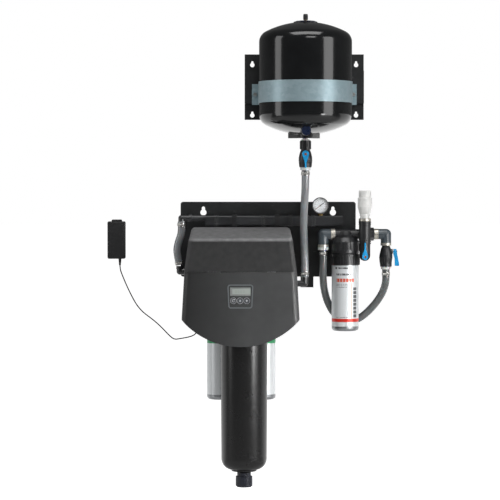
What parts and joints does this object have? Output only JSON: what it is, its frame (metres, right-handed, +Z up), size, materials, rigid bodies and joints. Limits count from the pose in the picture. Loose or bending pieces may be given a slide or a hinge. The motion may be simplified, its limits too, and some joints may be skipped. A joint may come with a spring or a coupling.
{
  "type": "reverse osmosis unit",
  "caption": "Wall-hung reverse osmosis water unit: covered membrane pump housing, hanging filter cartridges, strapped storage tank, hoses, lever valves and a plug-in adapter.",
  "frame": {"origin": "on the wall, midway between the two keyholes of the back plate", "axes": "+Z up, +Y into the wall, +X to the viewer's right"},
  "size_m": [0.8925, 0.2995, 1.4204],
  "materials": {
    "tank_black": "gloss",
    "plate_black": "satin",
    "zinc": "satin",
    "steel": "satin",
    "brass": "satin",
    "cover_black": "matte",
    "black_plastic": "matte",
    "valve_black": "satin",
    "blue_plastic": "satin",
    "grey_pvc": "satin",
    "hose_grey": "satin",
    "white_plastic": "satin",
    "natural_plastic": "satin",
    "label_silver": "satin",
    "bowl_black": "satin",
    "nut_navy": "satin",
    "rubber_black": "matte",
    "membrane_white": "satin",
    "clear": "gloss",
    "dial_white": "matte",
    "pointer_red": "satin",
    "display_grey": "satin",
    "board_green": "satin",
    "button_dark": "satin",
    "cord_grey": "satin"
  },
  "bodies": {
    "frame": {"back_plate": "plate_black", "tank_shell_lower": "tank_black", "tank_shell_upper": "tank_black", "tank_diaphragm": "rubber_black", "air_valve": "brass", "air_valve_tag": "nut_navy", "tank_bracket": "plate_black", "tank_strap": "zinc", "strap_fasteners": "steel", "tank_foot": "black_plastic", "tank_drain": "blue_plastic", "tank_coupling": "valve_black", "tank_valve_body": "valve_black", "tank_hose": "hose_grey", "manifold": "steel", "manifold_clips": "steel", "inlet_hose": "hose_grey", "solenoid_valve": "valve_black", "gauge_case": "steel", "gauge_lens": "clear", "gauge_dial": "dial_white", "filter_heads": "black_plastic", "membrane_head": "black_plastic", "membrane_element": "membrane_white", "control_box": "black_plastic", "outlet_tee": "valve_black", "check_valve_body": "natural_plastic", "bypass_valve_body": "valve_black", "outlet_valve_body": "valve_black", "loop_hose": "hose_grey", "hose_clamps": "steel", "hose_spigots": "white_plastic", "hose_elbows": "grey_pvc", "adapter_case": "black_plastic", "adapter_blades": "brass", "cord_gland": "black_plastic", "power_cord": "cord_grey"},
    "air_valve_cap": {"air_valve_cap": "black_plastic"},
    "tank_valve_lever": {"tank_valve_lever": "blue_plastic"},
    "bypass_valve_lever": {"bypass_valve_lever": "blue_plastic"},
    "outlet_valve_lever": {"outlet_valve_lever": "blue_plastic"},
    "gauge_pointer": {"gauge_pointer": "pointer_red"},
    "filter_one_collar": {"filter_one_collar": "black_plastic"},
    "filter_one_cartridge": {"filter_one_cartridge": "label_silver"},
    "filter_two_collar": {"filter_two_collar": "black_plastic"},
    "filter_two_cartridge": {"filter_two_cartridge": "label_silver"},
    "remineralizer_collar": {"remineralizer_collar": "black_plastic"},
    "remineralizer_cartridge": {"remineralizer_cartridge": "label_silver"},
    "membrane_lock_ring": {"membrane_lock_ring": "black_plastic"},
    "membrane_bowl": {"membrane_bowl": "bowl_black"},
    "membrane_drain_nut": {"membrane_drain_nut": "nut_navy"},
    "cover": {"cover_hood": "cover_black", "cover_panel": "cover_black", "display_screen": "display_grey", "display_board": "board_green"},
    "button_menu": {"button_menu": "button_dark"},
    "button_down": {"button_down": "button_dark"},
    "button_up": {"button_up": "button_dark"},
    "solenoid_plunger": {"solenoid_plunger": "steel"},
    "check_valve_poppet": {"check_valve_poppet": "white_plastic"}
  },
  "joints": [
    {"name": "air_cap_turn", "type": "hinge", "parent": "frame", "child": "air_valve_cap", "pos_m": [0.111, -0.158, 0.59], "axis": [0, 0, 1], "range_deg": [0, 720]},
    {"name": "tank_valve_turn", "type": "hinge", "parent": "frame", "child": "tank_valve_lever", "pos_m": [0.111, -0.158, 0.177], "axis": [0, 1, 0], "range_deg": [0, 90]},
    {"name": "bypass_valve_turn", "type": "hinge", "parent": "frame", "child": "bypass_valve_lever", "pos_m": [0.292, -0.127, -0.1325], "axis": [0, 1, 0], "range_deg": [0, 90]},
    {"name": "outlet_valve_turn", "type": "hinge", "parent": "frame", "child": "outlet_valve_lever", "pos_m": [0.358, -0.095, -0.118], "axis": [-1, 0, 0], "range_deg": [0, 90]},
    {"name": "gauge_pointer_turn", "type": "hinge", "parent": "frame", "child": "gauge_pointer", "pos_m": [0.1592, -0.0663, 0.0219], "axis": [0, 1, 0], "range_deg": [0, 262], "stiffness_Nm_per_rad": 0.001, "springref_deg": -17.19},
    {"name": "filter_one_collar_turn", "type": "hinge", "parent": "frame", "child": "filter_one_collar", "pos_m": [-0.146, -0.095, -0.14], "axis": [0, 0, 1], "range_deg": [0, 60]},
    {"name": "filter_one_cartridge_drop", "type": "slide", "parent": "frame", "child": "filter_one_cartridge", "axis": [0, 0, -1], "range_m": [0, 0.06]},
    {"name": "filter_two_collar_turn", "type": "hinge", "parent": "frame", "child": "filter_two_collar", "pos_m": [-0.019, -0.095, -0.14], "axis": [0, 0, 1], "range_deg": [0, 60]},
    {"name": "filter_two_cartridge_drop", "type": "slide", "parent": "frame", "child": "filter_two_cartridge", "axis": [0, 0, -1], "range_m": [0, 0.06]},
    {"name": "remineralizer_collar_turn", "type": "hinge", "parent": "frame", "child": "remineralizer_collar", "pos_m": [0.234, -0.095, -0.14], "axis": [0, 0, 1], "range_deg": [0, 60]},
    {"name": "remineralizer_cartridge_drop", "type": "slide", "parent": "frame", "child": "remineralizer_cartridge", "axis": [0, 0, -1], "range_m": [0, 0.06]},
    {"name": "membrane_ring_turn", "type": "hinge", "parent": "frame", "child": "membrane_lock_ring", "pos_m": [-0.074, -0.2, -0.22], "axis": [0, 0, 1], "range_deg": [0, 120]},
    {"name": "membrane_bowl_drop", "type": "slide", "parent": "frame", "child": "membrane_bowl", "axis": [0, 0, -1], "range_m": [0, 0.15]},
    {"name": "drain_nut_turn", "type": "hinge", "parent": "membrane_bowl", "child": "membrane_drain_nut", "pos_m": [-0.074, -0.2, -0.8], "axis": [0, 0, 1], "range_deg": [0, 720]},
    {"name": "cover_pull", "type": "slide", "parent": "frame", "child": "cover", "axis": [0, -1, 0], "range_m": [0, 0.2]},
    {"name": "button_menu_press", "type": "slide", "parent": "cover", "child": "button_menu", "axis": [0, 1, 0], "range_m": [0, 0.001], "stiffness_N_per_m": 400, "springref_m": -0.002},
    {"name": "button_down_press", "type": "slide", "parent": "cover", "child": "button_down", "axis": [0, 1, 0], "range_m": [0, 0.001], "stiffness_N_per_m": 400, "springref_m": -0.002},
    {"name": "button_up_press", "type": "slide", "parent": "cover", "child": "button_up", "axis": [0, 1, 0], "range_m": [0, 0.001], "stiffness_N_per_m": 400, "springref_m": -0.002},
    {"name": "solenoid_plunger_lift", "type": "slide", "parent": "frame", "child": "solenoid_plunger", "axis": [0, 0, 1], "range_m": [0, 0.003], "stiffness_N_per_m": 300, "springref_m": -0.004},
    {"name": "check_valve_lift", "type": "slide", "parent": "frame", "child": "check_valve_poppet", "axis": [0, 0, 1], "range_m": [0, 0.012], "stiffness_N_per_m": 50, "springref_m": -0.006}
  ]
}
